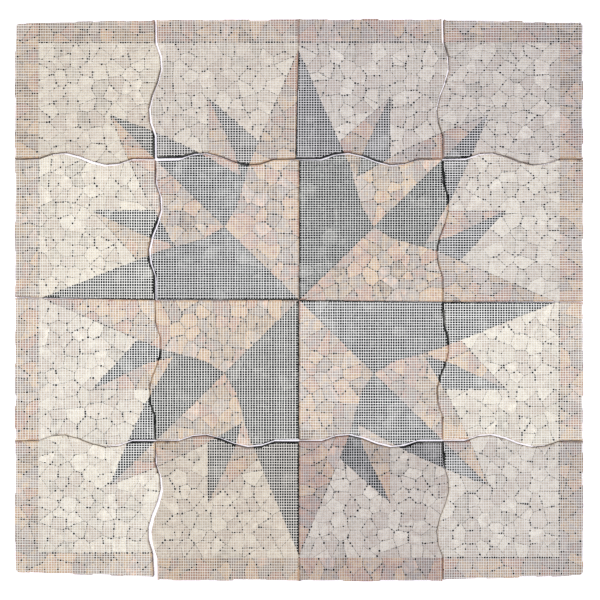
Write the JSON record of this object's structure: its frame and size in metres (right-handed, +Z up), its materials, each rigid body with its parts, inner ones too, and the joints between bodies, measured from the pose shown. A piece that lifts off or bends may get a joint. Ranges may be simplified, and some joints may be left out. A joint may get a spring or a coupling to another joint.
{
  "type": "marble mosaic",
  "caption": "Square floor mosaic of broken marble with a compass star, laid out as loose net-backed sheets with wavy seams, net side up.",
  "frame": {"origin": "middle of the underside, where the whole mosaic lies on the floor", "axes": "+X east across the star, +Y north towards the top row of sheets, +Z up, out of the net side"},
  "size_m": [1.198, 1.186, 0.0099],
  "materials": {
    "cream_marble": "tumbled, matt",
    "rose_marble": "tumbled, matt",
    "grey_marble": "tumbled, matt",
    "fibreglass_net": "white coated glass-fibre mesh, open"
  },
  "bodies": {
    "root": {"cream_stones_a1": "cream_marble", "rose_stones_a1": "rose_marble", "grey_stones_a1": "grey_marble", "net_a1": "fibreglass_net", "cream_stones_a2": "cream_marble", "rose_stones_a2": "rose_marble", "grey_stones_a2": "grey_marble", "net_a2": "fibreglass_net", "cream_stones_a3": "cream_marble", "rose_stones_a3": "rose_marble", "grey_stones_a3": "grey_marble", "net_a3": "fibreglass_net", "cream_stones_a4": "cream_marble", "rose_stones_a4": "rose_marble", "grey_stones_a4": "grey_marble", "net_a4": "fibreglass_net", "cream_stones_b1": "cream_marble", "rose_stones_b1": "rose_marble", "grey_stones_b1": "grey_marble", "net_b1": "fibreglass_net", "rose_stones_b2": "rose_marble", "grey_stones_b2": "grey_marble", "net_b2": "fibreglass_net", "rose_stones_b3": "rose_marble", "grey_stones_b3": "grey_marble", "net_b3": "fibreglass_net", "cream_stones_b4": "cream_marble", "rose_stones_b4": "rose_marble", "grey_stones_b4": "grey_marble", "net_b4": "fibreglass_net", "cream_stones_c1": "cream_marble", "rose_stones_c1": "rose_marble", "grey_stones_c1": "grey_marble", "net_c1": "fibreglass_net", "rose_stones_c2": "rose_marble", "grey_stones_c2": "grey_marble", "net_c2": "fibreglass_net", "rose_stones_c3": "rose_marble", "grey_stones_c3": "grey_marble", "net_c3": "fibreglass_net", "cream_stones_c4": "cream_marble", "rose_stones_c4": "rose_marble", "grey_stones_c4": "grey_marble", "net_c4": "fibreglass_net", "cream_stones_d1": "cream_marble", "rose_stones_d1": "rose_marble", "grey_stones_d1": "grey_marble", "net_d1": "fibreglass_net", "cream_stones_d2": "cream_marble", "rose_stones_d2": "rose_marble", "grey_stones_d2": "grey_marble", "net_d2": "fibreglass_net", "cream_stones_d3": "cream_marble", "rose_stones_d3": "rose_marble", "grey_stones_d3": "grey_marble", "net_d3": "fibreglass_net", "cream_stones_d4": "cream_marble", "rose_stones_d4": "rose_marble", "grey_stones_d4": "grey_marble", "net_d4": "fibreglass_net"}
  },
  "joints": []
}
